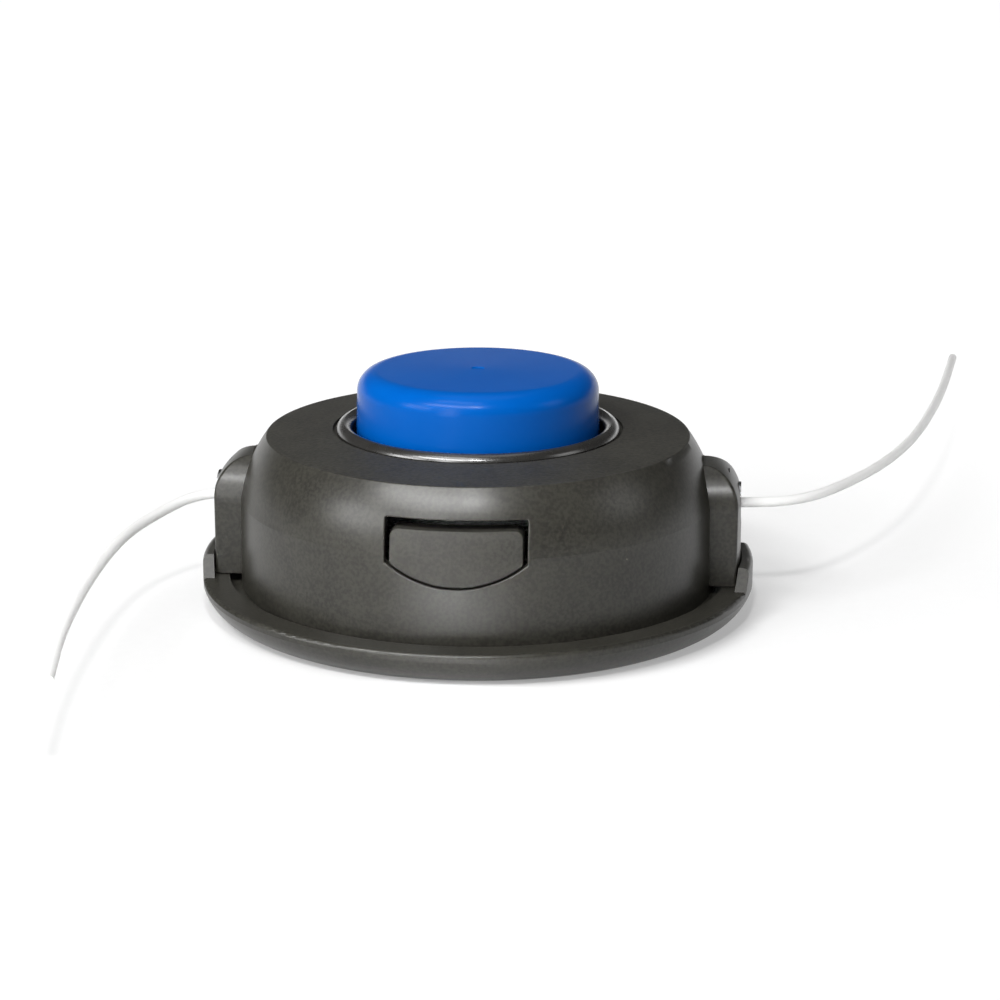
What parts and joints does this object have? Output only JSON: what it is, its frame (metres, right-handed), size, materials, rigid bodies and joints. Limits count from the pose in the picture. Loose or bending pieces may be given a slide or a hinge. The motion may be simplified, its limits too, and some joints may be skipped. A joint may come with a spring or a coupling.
{
  "type": "bump feed trimmer head",
  "caption": "Round string trimmer head with a spring-loaded bump knob, saucer flange, press-latched cover, side eyelets and cutting line on an indexing spool.",
  "frame": {"origin": "middle of the flange's foot, on the surface the head stands on", "axes": "+Z along the drive axis towards the knob, -Y through the front latch, X through the eyelets"},
  "size_m": [0.2057, 0.2938, 0.0565],
  "materials": {
    "housing_plastic": "fine matte texture",
    "ring_plastic": "polished",
    "knob_plastic": "satin",
    "spool_plastic": "moulded",
    "spring_steel": "drawn wire",
    "zinc_steel": "zinc plated",
    "eyelet_steel": "turned",
    "line_nylon": "translucent monofilament"
  },
  "bodies": {
    "housing": {"drum": "housing_plastic", "cover": "housing_plastic", "wear_ring": "ring_plastic", "eyelet_left": "eyelet_steel", "eyelet_right": "eyelet_steel", "line_tail_left": "line_nylon", "line_tail_right": "line_nylon", "feed_spring": "spring_steel", "spring_foot_washer": "zinc_steel", "drive_nut": "zinc_steel", "nut_retaining_washer": "zinc_steel"},
    "feed_slide": {"thrust_washer": "zinc_steel"},
    "spool": {"spool": "spool_plastic", "bump_knob": "knob_plastic", "knob_snap_ring": "spring_steel", "line_winding_lower": "line_nylon", "line_winding_upper": "line_nylon"},
    "latch_front": {"latch_front": "housing_plastic"},
    "latch_rear": {"latch_rear": "housing_plastic"}
  },
  "joints": [
    {"name": "bump", "type": "slide", "parent": "housing", "child": "feed_slide", "axis": [0, 0, -1], "range_m": [0, 0.005], "stiffness_N_per_m": 3000, "springref_m": -0.006, "deforming": ["feed_spring"]},
    {"name": "spool_index", "type": "hinge", "parent": "feed_slide", "child": "spool", "pos_m": [0, 0, 0.025], "axis": [0, 0, 1], "range_deg": [0, 22.5]},
    {"name": "latch_front_press", "type": "hinge", "parent": "housing", "child": "latch_front", "pos_m": [0, -0.0496, 0.0087], "axis": [-1, 0, 0], "range_deg": [0, 12], "stiffness_Nm_per_rad": 0.15, "springref_deg": -5.73},
    {"name": "latch_rear_press", "type": "hinge", "parent": "housing", "child": "latch_rear", "pos_m": [0, 0.0496, 0.0087], "axis": [1, 0, 0], "range_deg": [0, 12], "stiffness_Nm_per_rad": 0.15, "springref_deg": -5.73}
  ],
  "couplings": [
    {"joint": "spool_index", "follows": "bump", "rad_per_m": 78.5}
  ]
}
